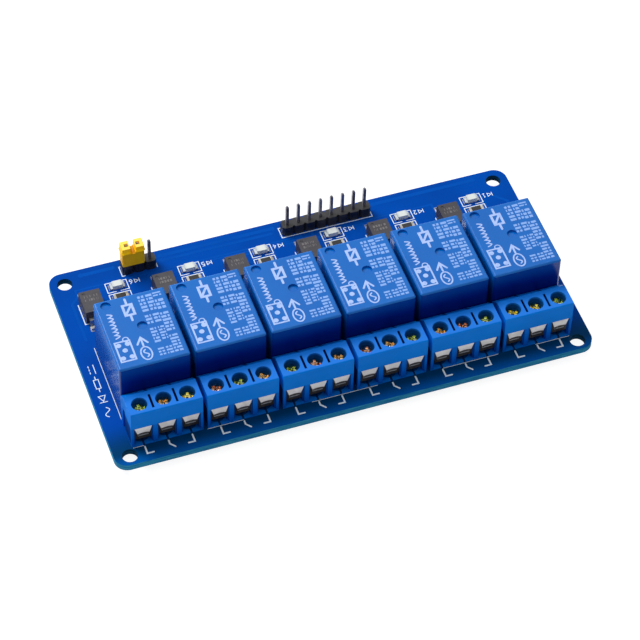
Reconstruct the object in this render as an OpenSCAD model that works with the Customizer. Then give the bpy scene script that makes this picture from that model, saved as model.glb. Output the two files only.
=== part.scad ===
// Six-channel relay board with screw terminals, optocouplers and a pull-off jumper cap.
// Millimetres, +Z up, the pin tips rest at z = 0, terminals face -Y and headers sit at +Y.

/* [Board] */
// Length of the board along X
board_length = 105.4; // [104:0.1:130]
// Width of the board along Y
board_width = 54.4; // [53.6:0.1:64]
// Thickness of the board
board_thickness = 1.6; // [1:0.1:2.4]
// Radius of the four board corners
board_corner_radius = 2.9; // [0.5:0.1:4]
// How far the pins stick out under the board
pin_tail = 1.9; // [1.3:0.1:3]

/* [Mounting holes] */
// Diameter of each mounting hole
hole_diameter = 3.3; // [2.8:0.1:3.6]
// Hole centre to the nearest side edge
hole_edge_side = 3.3; // [3:0.1:3.6]
// Hole centre to the front edge
hole_edge_front = 2.4; // [2.2:0.1:2.6]
// Hole centre to the back edge
hole_edge_back = 3.2; // [2.8:0.1:4]

/* [Relays] */
// Distance between neighbouring channels
channel_pitch = 16.3; // [16.1:0.1:17.2]
// Width of a relay along X
relay_width = 15.2; // [14.8:0.1:15.6]
// Length of a relay along Y
relay_length = 19.05; // [18.6:0.05:19.6]
// Height of a relay above the board
relay_height = 15.65; // [14:0.05:18]
// Rounding of the relay edges
relay_edge_radius = 0.5; // [0.2:0.1:1]
// Diameter of the two moulding recesses in the relay top
relay_recess_diameter = 2.2; // [1.6:0.1:2.6]
// Depth of those recesses
relay_recess_depth = 0.5; // [0.2:0.1:1]
// Diameter of a relay pin
relay_pin_diameter = 1; // [0.7:0.1:1.2]
// Gap between a relay and the terminal in front of it
relay_gap = 0.2; // [0.1:0.1:0.8]

/* [Terminal blocks] */
// Distance between neighbouring wire ways
way_pitch = 5.08; // [5:0.01:5.12]
// Terminal front face to the board edge
terminal_setback = 4.2; // [4.1:0.1:5]
// Height of a terminal block above the board
terminal_height = 10.3; // [9.8:0.1:12]
// Depth of the whole terminal block
terminal_depth = 7.6; // [7.4:0.1:8]
// Depth of the flat top, in front of the slope
terminal_top_depth = 5.3; // [5:0.1:5.8]
// Width of a wire opening
opening_width = 4.1; // [3.9:0.1:4.3]
// Width of the narrow slot between two screw holes
slot_width = 0.5; // [0.3:0.1:0.8]
// Depth of that slot
slot_depth = 3; // [1:0.1:3.5]
// How far the end rib stands out
rib_proud = 0.55; // [0.3:0.05:0.6]

/* [Screws and wire clamps] */
// Diameter of a screw head
screw_head_diameter = 3.2; // [3:0.05:3.4]
// Diameter of a screw shank
screw_shank_diameter = 2.2; // [1.9:0.05:2.3]
// Screw head top below the top of the block
screw_sunk = 1.6; // [1:0.1:1.8]
// Up and down travel of a wire clamp
clamp_travel = 1.4; // [1:0.1:1.6]
// Outer width of a wire clamp
clamp_width = 3.4; // [3.3:0.05:3.6]
// Length of a wire clamp along the wire
clamp_length = 4; // [3.6:0.05:4.1]
// Width of a contact bar
bar_width = 2.2; // [1.8:0.05:2.3]
// Thickness of a contact bar
bar_thickness = 0.64; // [0.5:0.02:0.8]

/* [Headers and jumper cap] */
// Distance between neighbouring header pins
pin_pitch = 2.54; // [2.5:0.01:2.58]
// Height and depth of the header bodies
header_height = 2.54; // [2.3:0.02:2.7]
// Width across the flats of a header pin
pin_size = 0.64; // [0.58:0.02:0.68]
// Pin tips above the board
pin_top = 8.1; // [7.6:0.1:10]
// Length of the jumper cap across its two pins
cap_length = 4.95; // [4.85:0.05:5.05]
// Thickness of the jumper cap along Y
cap_depth = 2.45; // [2.35:0.05:2.6]
// Width of the grip channel in the top of the cap
cap_channel = 1.25; // [0.9:0.05:1.4]

/* [Small parts] */
// Length of an optocoupler body along Y
opto_length = 6.5; // [6.2:0.1:6.8]
// Width of an optocoupler body along X
opto_width = 4.5; // [4.2:0.1:4.8]
// Height of an optocoupler above the board
opto_height = 3.5; // [2.6:0.1:4]
// Length of the chip resistors and indicator lamps
chip_length = 3.2; // [2.8:0.1:3.4]
// Width of the chip resistors and indicator lamps
chip_width = 1.6; // [1.2:0.1:1.8]
// Thickness of a chip resistor
chip_height = 0.6; // [0.4:0.05:0.8]
// Thickness of an indicator lamp
lamp_height = 1.1; // [0.8:0.1:1.4]
// Length of a flyback diode body
diode_length = 4.2; // [3.8:0.1:4.4]
// Width of a flyback diode body
diode_width = 2.6; // [1.6:0.1:2.8]
// Height of a flyback diode
diode_height = 2.2; // [1.4:0.1:2.4]
// Length of a driver transistor body
transistor_length = 2.9; // [2.7:0.1:3]
// Width of a driver transistor body
transistor_width = 1.3; // [1.2:0.1:1.4]
// Height of a driver transistor
transistor_height = 1.1; // [0.9:0.1:1.3]

/* [Hidden] */
channels = 6;
ways = 3;
fine = 48;
run_gap = 0.08;    // guided flat faces and the screw head in its hole
shank_gap = 0.05;  // shank in its ledge and in the clamp
under = pin_tail;                     // board underside
top = pin_tail + board_thickness;     // board top
half_x = board_length / 2;
half_y = board_width / 2;

terminal_front = -half_y + terminal_setback;
terminal_width = ways * way_pitch + 0.1;
terminal_back = terminal_front + terminal_depth;
relay_front = terminal_back + relay_gap;
relay_back = relay_front + relay_length;
relay_pin_inset = 2.45;
screw_y = terminal_front + 2.5;
contact_pin_y = terminal_front + 5.35;
contact_pin_radius = 0.45;

// heights inside a way, above the board top
floor_top = 0.25;
clamp_bottom = 0.3 + clamp_travel;
clamp_floor = 0.8;
bar_bottom = clamp_bottom + clamp_floor + 0.06;
bar_top = bar_bottom + bar_thickness;
head_top = terminal_height - screw_sunk;
head_bottom = terminal_height - 2.75;
ledge_top = head_bottom - 0.05;
cavity_top = ledge_top - 0.3;
clamp_top = cavity_top - 0.15;
window_top = clamp_top - 1.2;
opening_top = terminal_height - 4.6;
lip_top = opening_top - 0.1;
lip_bottom = bar_top + 0.1;

clamp_front = screw_y - clamp_length / 2;
clamp_back = screw_y + clamp_length / 2;
cavity_front = clamp_front - 0.06;
cavity_back = clamp_back + run_gap;
cavity_width = clamp_width + 2 * run_gap;
window_width = max(bar_width, screw_shank_diameter) + 0.2;

header_inset = 3.43;
header_y = half_y - header_inset;
power_pins = 8;
power_x = 9.73;
select_pins = 3;
select_x = -33;
cap_x = select_x - pin_pitch / 2;
cap_bottom = header_height + 0.06;
cap_top = pin_top - 0.05;

// the small parts share the strip between the relays and the headers
strip = header_y - header_height / 2 - relay_back;
opto_dx = -5;
opto_y = relay_back + 0.59 * strip;
opto_lead_reach = 1.65;
opto_lead_offset = 1.27;
opto_lead_width = 0.9;
opto_lead_thickness = 0.25;
lamp_dx = 1.85;
lamp_y = relay_back + 0.8686 * strip;
lamp_resistor_y = relay_back + 0.6917 * strip;
base_resistor_y = relay_back + 0.5067 * strip;
transistor_dx = 4.2;
transistor_y = relay_back + 0.2225 * strip;
transistor_lead_reach = 0.65;
diode_dx = -0.8;
diode_y = relay_back + 0.1475 * strip;
diode_tab = 0.25;
joint_height = 0.9;
end_cap = 0.5;

function channel_x(i) = (i - (channels - 1) / 2) * channel_pitch;
function way_x(i) = channel_x(floor(i / ways)) + (i % ways - 1) * way_pitch;

// round pins: x, y and radius
relay_pin_places = [for (i = [0 : channels - 1], p = [[0, 0], [-6, 2], [6, 2], [-6, 14.2], [6, 14.2]])
    [channel_x(i) + p[0], relay_back - relay_pin_inset - p[1], relay_pin_diameter / 2]];
way_pin_places = [for (i = [0 : channels * ways - 1]) [way_x(i), contact_pin_y, contact_pin_radius]];
round_pins = concat(relay_pin_places, way_pin_places);

// square pins: x and y
power_pin_places = [for (i = [0 : power_pins - 1]) [power_x + (i - (power_pins - 1) / 2) * pin_pitch, header_y]];
select_pin_places = [for (i = [0 : select_pins - 1]) [select_x + (i - (select_pins - 1) / 2) * pin_pitch, header_y]];
square_pins = concat(power_pin_places, select_pin_places);

mount_places = [for (sx = [-1, 1], y = [half_y - hole_edge_back, -half_y + hole_edge_front])
    [sx * (half_x - hole_edge_side), y]];

// ---- helpers ----

// rectangle with round corners, centred
module rounded(size, r) {
    square([size[0] - 2 * r, size[1]], center = true);
    square([size[0], size[1] - 2 * r], center = true);
    for (sx = [-1, 1], sy = [-1, 1])
        translate([sx * (size[0] / 2 - r), sy * (size[1] / 2 - r)]) circle(r = r, $fn = fine);
}

// box from two opposite corners
module span(a, b) {
    translate(a) cube(b - a);
}

// a profile drawn in Y and Z, pushed along X and centred on x
module along_x(x, width) {
    translate([x - width / 2, 0, 0]) rotate([90, 0, 90]) linear_extrude(width) children();
}

// a profile drawn in X and Z, pushed along Y from y
module along_y(y, depth) {
    translate([0, y + depth, 0]) rotate([90, 0, 0]) linear_extrude(depth) children();
}

// ---- board ----

module circuit_board() {
    color([0.04, 0.25, 0.5])
    translate([0, 0, under]) linear_extrude(board_thickness) difference() {
        rounded([board_length, board_width], board_corner_radius);
        for (p = mount_places) translate(p) circle(d = hole_diameter, $fn = fine);
        for (p = round_pins) translate([p[0], p[1]]) circle(r = p[2] + 0.15, $fn = 32);
        for (p = square_pins) translate(p) circle(r = pin_size * 0.7071 + 0.08, $fn = 32);
    }
}

// ---- relay: sealed can with its five pins ----

module relay(i) {
    w = relay_width;
    l = relay_length;
    h = relay_height;
    r = relay_edge_radius;
    color([0.16, 0.42, 0.8]) union() {
        translate([channel_x(i), relay_front + l / 2, top]) difference() {
            intersection() {
                linear_extrude(h) rounded([w, l], r);
                translate([0, l / 2, h / 2]) rotate([90, 0, 0]) linear_extrude(l) rounded([w, h], r);
                translate([-w / 2, 0, h / 2]) rotate([90, 0, 90]) linear_extrude(w) rounded([l, h], r);
            }
            translate([-w / 2 + 2.3, l / 2 - 1.65, h - relay_recess_depth])
                cylinder(h = relay_recess_depth + 1, d = relay_recess_diameter, $fn = fine);
            translate([-w / 2 + 8, l / 2 - 8.9, h - relay_recess_depth])
                cylinder(h = relay_recess_depth + 1, d = relay_recess_diameter, $fn = fine);
        }
        for (p = [for (q = relay_pin_places) if (abs(q[0] - channel_x(i)) < channel_pitch / 2) q])
            translate([p[0], p[1], 0]) cylinder(h = top + 1, r = p[2], $fn = 32);
    }
}

// ---- terminal block: housing with three screw ways ----

module terminal_profile() {
    slope = terminal_depth - terminal_top_depth;
    translate([terminal_front, 0]) polygon([
        [0, 0], [0, terminal_height - 0.2], [0.2, terminal_height],
        [terminal_top_depth - 0.1, terminal_height], [terminal_top_depth + 0.07, terminal_height - 0.07],
        [terminal_depth, terminal_height - slope], [terminal_depth, 0]]);
}

module terminal_block(i) {
    x = channel_x(i);
    color([0.1, 0.45, 0.9]) translate([0, 0, top]) difference() {
        union() {
            along_x(x, terminal_width) terminal_profile();
            // end rib that keys into the groove of a neighbour
            linear_extrude(5.9) polygon([
                [x + terminal_width / 2 - 0.5, terminal_front + 4.85],
                [x + terminal_width / 2 + rib_proud, terminal_front + 4.7],
                [x + terminal_width / 2 + rib_proud, terminal_front + 5.9],
                [x + terminal_width / 2 - 0.5, terminal_front + 5.75]]);
        }
        // end groove, wider inside than at the face
        translate([0, 0, -1]) linear_extrude(7.1) polygon([
            [x - terminal_width / 2 - 1, terminal_front + 4.75],
            [x - terminal_width / 2 + 0.5, terminal_front + 4.5],
            [x - terminal_width / 2 + 0.5, terminal_front + 6.1],
            [x - terminal_width / 2 - 1, terminal_front + 5.85]]);
        for (s = [-1, 1]) span(
            [x + s * way_pitch / 2 - slot_width / 2, terminal_front + 0.8, terminal_height - slot_depth],
            [x + s * way_pitch / 2 + slot_width / 2, terminal_front + 4.4, terminal_height + 1]);
        for (w = [0 : ways - 1]) translate([way_x(ways * i + w), 0, 0]) way_space();
    }
}

// everything hollow inside one way
module way_space() {
    // screw head hole, then the ledge that carries the head
    translate([0, screw_y, ledge_top])
        cylinder(h = terminal_height, r = screw_head_diameter / 2 + run_gap, $fn = fine);
    translate([0, screw_y, cavity_top - 0.1])
        cylinder(h = 1, r = screw_shank_diameter / 2 + shank_gap, $fn = fine);
    // shaft in which the clamp slides
    span([-cavity_width / 2, cavity_front, floor_top], [cavity_width / 2, cavity_back, cavity_top]);
    // wire opening in the front wall
    span([-opening_width / 2, terminal_front - 1, floor_top],
         [opening_width / 2, cavity_front + 0.01, opening_top]);
    // slit in the floor strip
    span([-0.18, terminal_front - 1, -1], [0.18, terminal_front + 1.8, floor_top + 0.1]);
    // slot for the contact bar and its pin
    span([-bar_width / 2, cavity_back - 0.1, -1], [bar_width / 2, contact_pin_y + contact_pin_radius, bar_top]);
}

// ---- screw, clamp and contact of one way ----

module terminal_screw(i) {
    color([0.75, 0.7, 0.4]) translate([way_x(i), screw_y, top]) difference() {
        union() {
            translate([0, 0, bar_top + 0.05])
                cylinder(h = head_bottom - bar_top, d = screw_shank_diameter, $fn = fine);
            translate([0, 0, head_bottom])
                cylinder(h = head_top - head_bottom, d = screw_head_diameter, $fn = fine);
        }
        rotate([0, 0, (i * 37) % 90]) for (a = [0, 90]) rotate([0, 0, a])
            translate([-1.15, -0.27, head_top - 0.7]) cube([2.3, 0.54, 2]);
    }
}

module wire_clamp(i) {
    color([0.72, 0.73, 0.74]) translate([way_x(i), 0, top]) difference() {
        span([-clamp_width / 2, clamp_front, clamp_bottom], [clamp_width / 2, clamp_back, clamp_top]);
        span([-window_width / 2, clamp_front - 1, clamp_bottom + clamp_floor],
             [window_width / 2, clamp_back + 1, window_top]);
        translate([0, screw_y, window_top - 0.5])
            cylinder(h = 3, r = screw_shank_diameter / 2 + shank_gap, $fn = fine);
    }
}

module contact(i) {
    translate([way_x(i), 0, top]) union() {
        span([-bar_width / 2, clamp_front, bar_bottom],
             [bar_width / 2, contact_pin_y + contact_pin_radius, bar_top]);
        // front lip, wide at the top, with a hollow lower edge
        along_y(terminal_front + 0.1, 0.24) difference() {
            polygon([[-bar_width / 2 - 0.05, lip_bottom], [-opening_width / 2 + 0.2, lip_top],
                     [opening_width / 2 - 0.2, lip_top], [bar_width / 2 + 0.05, lip_bottom]]);
            translate([0, lip_bottom - 1.2]) circle(r = 1.5, $fn = fine);
        }
        span([-bar_width / 2, terminal_front + 0.3, bar_top - 0.2],
             [bar_width / 2, clamp_front + 0.1, bar_top + 0.7]);
        translate([0, contact_pin_y, -top]) cylinder(h = top + bar_bottom + 0.1, r = contact_pin_radius, $fn = 32);
    }
}

module terminal_contacts() {
    color([0.8, 0.8, 0.8]) for (i = [0 : channels * ways - 1]) contact(i);
}

// ---- small parts on the board ----

module optocoupler() {
    l = opto_length / 2;
    mid = opto_height / 2;
    t = opto_lead_thickness;
    r = opto_lead_reach;
    union() {
        along_x(0, opto_width) polygon([[-l, mid], [-l + 0.18, 0.15], [l - 0.18, 0.15],
            [l, mid], [l - 0.3, opto_height], [-l + 0.3, opto_height]]);
        for (s = [-1, 1], x = [-1, 1]) along_x(x * opto_lead_offset, opto_lead_width) polygon([
            [s * (l - 0.3), mid + t / 2], [s * (l + 0.42 * r), mid + t / 2], [s * (l + 0.57 * r), t],
            [s * (l + r), t], [s * (l + r), 0], [s * (l + 0.45 * r), 0],
            [s * (l + 0.3 * r), mid - t / 2], [s * (l - 0.3), mid - t / 2]]);
    }
}

module optocouplers() {
    color([0.35, 0.34, 0.33]) for (i = [0 : channels - 1])
        translate([channel_x(i) + opto_dx, opto_y, top]) difference() {
            optocoupler();
            translate([-opto_width / 2 + 0.9, opto_length / 2 - 1.2, opto_height - 0.1])
                cylinder(h = 1, d = 0.8, $fn = 32);
        }
}

// base with two end caps and a clear block in the middle
module lamp() {
    c = [chip_length, chip_width];
    union() {
        linear_extrude(0.4 * lamp_height) square(c, center = true);
        linear_extrude(lamp_height) rounded([c[0] - 1, c[1] - 0.06], 0.2);
    }
}

module indicator_leds() {
    color([0.95, 0.93, 0.85]) for (i = [0 : channels - 1])
        translate([channel_x(i) + lamp_dx, lamp_y, top]) lamp();
}

module chip_resistor() {
    union() {
        translate([0, 0, 0.03]) linear_extrude(chip_height - 0.06)
            square([chip_length - 0.2, chip_width], center = true);
        for (s = [-1, 1]) translate([s * (chip_length - end_cap) / 2, 0, 0])
            linear_extrude(chip_height) square([end_cap, chip_width + 0.04], center = true);
    }
}

module chip_resistors() {
    color([0.08, 0.08, 0.08]) for (i = [0 : channels - 1], y = [lamp_resistor_y, base_resistor_y])
        translate([channel_x(i) + lamp_dx, y, top]) chip_resistor();
}

module driver_transistor() {
    w = transistor_width / 2;
    r = transistor_lead_reach;
    h = transistor_height / 2;
    union() {
        translate([0, 0, 0.1]) linear_extrude(transistor_height - 0.1)
            square([transistor_length, transistor_width], center = true);
        for (p = [[-1, -1], [1, -1], [0, 1]]) along_x(p[0] * 0.33 * transistor_length, 0.4) polygon([
            [p[1] * (w - 0.1), h + 0.07], [p[1] * (w + 0.3 * r), h + 0.07], [p[1] * (w + 0.45 * r), 0.15],
            [p[1] * (w + r), 0.15], [p[1] * (w + r), 0], [p[1] * (w + 0.3 * r), 0],
            [p[1] * (w + 0.15 * r), h - 0.07], [p[1] * (w - 0.1), h - 0.07]]);
    }
}

module driver_transistors() {
    color([0.08, 0.08, 0.08]) for (i = [0 : channels - 1])
        translate([channel_x(i) + transistor_dx, transistor_y, top]) driver_transistor();
}

module flyback_diode() {
    l = diode_length / 2;
    h = diode_height;
    e = l + diode_tab;
    union() {
        along_y(-diode_width / 2, diode_width) polygon([[-l, h / 2], [-l + 0.15, 0.1], [l - 0.15, 0.1],
            [l, h / 2], [l - 0.15, h], [-l + 0.15, h]]);
        for (s = [-1, 1]) along_y(-0.27 * diode_width, 0.54 * diode_width) polygon([
            [s * (l - 0.3), h / 2 + 0.1], [s * e, h / 2 + 0.1], [s * e, 0], [s * (l - 0.9), 0],
            [s * (l - 0.9), 0.2], [s * (e - 0.2), 0.2], [s * (e - 0.2), h / 2 - 0.1], [s * (l - 0.3), h / 2 - 0.1]]);
    }
}

module flyback_diodes() {
    color([0.1, 0.1, 0.1]) for (i = [0 : channels - 1])
        translate([channel_x(i) + diode_dx, diode_y, top]) flyback_diode();
}

// ---- headers ----

module header_body(places) {
    c = 0.45;
    p = pin_pitch / 2;
    d = header_height / 2;
    translate([0, 0, top]) difference() {
        linear_extrude(header_height) union() {
            for (q = places) translate(q) polygon([[-p + c, -d], [p - c, -d], [p, -d + c], [p, d - c],
                [p - c, d], [-p + c, d], [-p, d - c], [-p, -d + c]]);
            translate([places[0][0], places[0][1] - d + c])
                square([places[len(places) - 1][0] - places[0][0], 2 * (d - c)]);
        }
        for (q = places) translate([q[0], q[1], 0]) linear_extrude(20, center = true) square(pin_size, center = true);
    }
}

module header_housings() {
    color([0.06, 0.06, 0.06]) {
        header_body(power_pin_places);
        header_body(select_pin_places);
    }
}

module pin_side() {
    s = pin_size / 2;
    h = top + pin_top;
    polygon([[-s * 0.45, 0], [s * 0.45, 0], [s, 0.4], [s, h - 0.4], [s * 0.45, h], [-s * 0.45, h], [-s, h - 0.4], [-s, 0.4]]);
}

module header_pins() {
    color([0.85, 0.7, 0.3]) for (q = square_pins) translate([q[0], q[1], 0]) intersection() {
        along_x(0, pin_size) pin_side();
        along_y(-pin_size / 2, pin_size) pin_side();
    }
}

// ---- jumper cap ----

module jumper_cap() {
    h = cap_top - cap_bottom;
    r = cap_channel / 2;
    color([0.95, 0.8, 0.1]) translate([cap_x, header_y, top + cap_bottom]) difference() {
        intersection() {
            linear_extrude(h) rounded([cap_length, cap_depth], 0.3);
            along_y(-cap_depth, 2 * cap_depth) translate([0, h / 2]) rounded([cap_length, h], 0.25);
        }
        // grip channel through the top, round at the bottom
        along_y(-cap_depth, 2 * cap_depth) union() {
            translate([0, h - 1.9 + r]) circle(r = r, $fn = fine);
            translate([-r, h - 1.9 + r]) square([cap_channel, 4]);
        }
        // two pin holes and the pocket that holds the contact
        for (s = [-1, 1]) translate([s * pin_pitch / 2, 0, -1]) linear_extrude(h + 2) square(pin_size + 0.26, center = true);
        translate([0, 0, -1]) linear_extrude(4) square([pin_pitch + 1.36, 1.4], center = true);
    }
}

module jumper_contact() {
    color([0.8, 0.75, 0.6]) translate([cap_x, header_y, top + cap_bottom + 0.5]) linear_extrude(2.5) difference() {
        union() {
            for (s = [-1, 1]) translate([s * pin_pitch / 2, 0]) square([1.36, 1.4], center = true);
            translate([-pin_pitch / 2, 0.4]) square([pin_pitch, 0.3]);
        }
        for (s = [-1, 1]) translate([s * pin_pitch / 2, 0]) square(pin_size + 0.1, center = true);
    }
}

// ---- solder under the board ----

module solder_joints() {
    corner = pin_size * 0.7071;
    color([0.75, 0.76, 0.78]) {
        for (p = round_pins) translate([p[0], p[1], under - joint_height]) difference() {
            cylinder(h = joint_height, r1 = p[2] + 0.12, r2 = p[2] + 0.6, $fn = fine);
            translate([0, 0, -1]) cylinder(h = 3, r = p[2], $fn = fine);
        }
        for (p = square_pins) translate([p[0], p[1], under - joint_height]) difference() {
            cylinder(h = joint_height, r1 = corner + 0.1, r2 = corner + 0.45, $fn = fine);
            linear_extrude(6, center = true) square(pin_size, center = true);
        }
    }
}

// ---- draw one sub-part, or all of them ----

circuit_board();
for (i = [0 : channels - 1]) relay(i);
for (i = [0 : channels - 1]) terminal_block(i);
for (i = [0 : channels * ways - 1]) terminal_screw(i);
for (i = [0 : channels * ways - 1]) wire_clamp(i);
terminal_contacts();
optocouplers();
indicator_leds();
chip_resistors();
driver_transistors();
flyback_diodes();
header_housings();
header_pins();
jumper_cap();
jumper_contact();
solder_joints();
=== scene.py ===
import math
import random

import bmesh
import bpy
from mathutils import Matrix, Vector


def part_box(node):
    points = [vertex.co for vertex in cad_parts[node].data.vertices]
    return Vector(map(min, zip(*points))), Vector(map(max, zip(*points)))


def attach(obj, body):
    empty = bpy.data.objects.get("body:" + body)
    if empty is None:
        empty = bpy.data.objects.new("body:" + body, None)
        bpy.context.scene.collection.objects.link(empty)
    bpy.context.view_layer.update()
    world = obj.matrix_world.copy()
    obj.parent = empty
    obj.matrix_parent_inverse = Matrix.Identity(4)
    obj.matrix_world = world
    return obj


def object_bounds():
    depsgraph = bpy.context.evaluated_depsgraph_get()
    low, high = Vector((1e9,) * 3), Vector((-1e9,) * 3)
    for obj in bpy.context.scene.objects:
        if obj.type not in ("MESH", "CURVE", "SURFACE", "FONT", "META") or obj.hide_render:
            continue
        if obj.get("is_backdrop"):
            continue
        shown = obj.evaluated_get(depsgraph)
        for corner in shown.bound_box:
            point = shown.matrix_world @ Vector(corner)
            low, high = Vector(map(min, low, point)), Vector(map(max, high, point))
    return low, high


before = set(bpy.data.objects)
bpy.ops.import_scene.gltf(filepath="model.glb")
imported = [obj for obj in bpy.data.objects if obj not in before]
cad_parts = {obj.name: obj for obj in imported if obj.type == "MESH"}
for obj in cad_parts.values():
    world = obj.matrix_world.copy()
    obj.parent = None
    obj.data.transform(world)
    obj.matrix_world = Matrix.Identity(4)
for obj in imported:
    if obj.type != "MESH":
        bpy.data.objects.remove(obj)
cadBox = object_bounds()
print("frame loaded:", len(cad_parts), "solids")

mm = 0.001
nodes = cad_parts


def middle(name):
    low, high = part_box(name)
    return (low + high) / 2


boardLow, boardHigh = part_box("circuit_board")
boardTop = boardHigh.z
boardUnder = boardLow.z
relayLow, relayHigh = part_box("relay_1")
channelCount = sum(1 for name in nodes if name.startswith("relay_"))
wayCount = sum(1 for name in nodes if name.startswith("terminal_screw_")) // channelCount
channelPitch = (middle("relay_%d" % channelCount).x - middle("relay_1").x) / (channelCount - 1)
wayPitch = middle("terminal_screw_2").x - middle("terminal_screw_1").x
channelXs = [middle("relay_%d" % (i + 1)).x for i in range(channelCount)]
wayXs = [middle("terminal_screw_%d" % (i + 1)).x for i in range(channelCount * wayCount)]
screwY = middle("terminal_screw_1").y
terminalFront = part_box("terminal_block_1")[0].y
headerY = middle("header_pins").y

# the small parts, in mm: where each stands along X from the middle of its channel, and its sizes
parts = {
    "optoX": -5.0, "optoLength": 6.5, "optoReach": 1.65, "optoLead": 1.27,
    "lampX": 1.85, "chipLength": 3.2, "chipWidth": 1.64, "endCap": 0.5,
    "transistorX": 4.2, "transistorWidth": 1.3, "transistorReach": 0.65, "transistorLead": 0.957,
    "diodeX": -0.8, "diodeLength": 4.2,
}
optoY = middle("optocouplers").y
lampY = middle("indicator_leds").y
transistorY = middle("driver_transistors").y
diodeY = middle("flyback_diodes").y
chipLow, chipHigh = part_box("chip_resistors")
lampResistorY = chipHigh.y - parts["chipWidth"] / 2 * mm
baseResistorY = chipLow.y + parts["chipWidth"] / 2 * mm

# the pins, in mm: first X and count in each header, and each relay's own from its rearmost one
pinPlan = {
    "pitch": 2.54, "control": (0.84, 8), "select": (-35.54, 3),
    "relay": [(0, 0), (-6, 2), (6, 2), (-6, 14.2), (6, 14.2)],
    "relayInset": 2.45, "tailInset": 5.35,   # from the relay's back and the terminal's front
}
controlXs, selectXs = ([first + pinPlan["pitch"] * k for k in range(count)]
                       for first, count in (pinPlan["control"], pinPlan["select"]))
relayPinY = relayHigh.y / mm - pinPlan["relayInset"]
tailY = terminalFront / mm + pinPlan["tailInset"]

# camera, light and floor

cameraPlan = {
    "place": (-0.135450, -0.362621, 0.452623),
    "forward": (0.22802835, 0.60907103, -0.75962856),
    "roll": 1.786,                    # degrees
    "lens": 156.33, "sensor": 36,     # mm
    "clip": (0.01, 20),               # m
}


def makeCamera():
    forward = Vector(cameraPlan["forward"]).normalized()
    flat = Vector((forward.y, -forward.x, 0)).normalized()
    rise = flat.cross(forward)
    roll = math.radians(cameraPlan["roll"])
    right = flat * math.cos(roll) + rise * math.sin(roll)
    up = rise * math.cos(roll) - flat * math.sin(roll)
    data = bpy.data.cameras.new("camera")
    data.lens = cameraPlan["lens"]
    data.sensor_width = cameraPlan["sensor"]
    data.clip_start, data.clip_end = cameraPlan["clip"]
    camera = bpy.data.objects.new("camera", data)
    bpy.context.scene.collection.objects.link(camera)
    turn = Matrix((right, up, -forward)).transposed().to_4x4()
    camera.matrix_world = Matrix.Translation(Vector(cameraPlan["place"])) @ turn
    bpy.context.scene.camera = camera


makeCamera()

lightPlan = {
    "key": {"place": (-0.36, 0.42, 0.62), "size": 0.5, "power": 5.6},
    "top": {"place": (0.02, -0.02, 0.85), "size": 0.9, "power": 2.2},
}


def makeLights():
    for name, plan in lightPlan.items():
        data = bpy.data.lights.new(name, "AREA")
        data.shape = "DISK"
        data.size = plan["size"]
        data.energy = plan["power"]
        lamp = bpy.data.objects.new(name, data)
        lamp.location = plan["place"]
        lamp.rotation_euler = (-Vector(plan["place"])).to_track_quat("-Z", "Y").to_euler()
        lamp.visible_camera = False
        bpy.context.scene.collection.objects.link(lamp)


makeLights()


# shader tools

class Wire:
    # a shader socket that can stand in plain sums
    def __init__(self, finish, socket):
        self.finish = finish
        self.socket = socket

    def work(self, operation, *terms):
        return self.finish.add("ShaderNodeMath", {"operation": operation}, dict(enumerate(terms)))

    def __add__(self, other):
        return self.work("ADD", self, other)

    def __radd__(self, other):
        return self.work("ADD", other, self)

    def __sub__(self, other):
        return self.work("SUBTRACT", self, other)

    def __rsub__(self, other):
        return self.work("SUBTRACT", other, self)

    def __mul__(self, other):
        return self.work("MULTIPLY", self, other)

    def __rmul__(self, other):
        return self.work("MULTIPLY", other, self)

    def __truediv__(self, other):
        return self.work("DIVIDE", self, other)

    def __mod__(self, other):
        return self.work("FLOORED_MODULO", self, other)

    def __gt__(self, other):
        return self.work("GREATER_THAN", self, other)

    def __lt__(self, other):
        return self.work("LESS_THAN", self, other)

    def __pow__(self, other):
        return self.work("POWER", self, other)

    def __abs__(self):
        return self.work("ABSOLUTE", self)

    def __round__(self):
        return self.work("ROUND", self)

    def __or__(self, other):
        return self.work("MAXIMUM", self, other)

    def side(self, name):
        return Wire(self.finish, self.socket.node.outputs[name])


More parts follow.
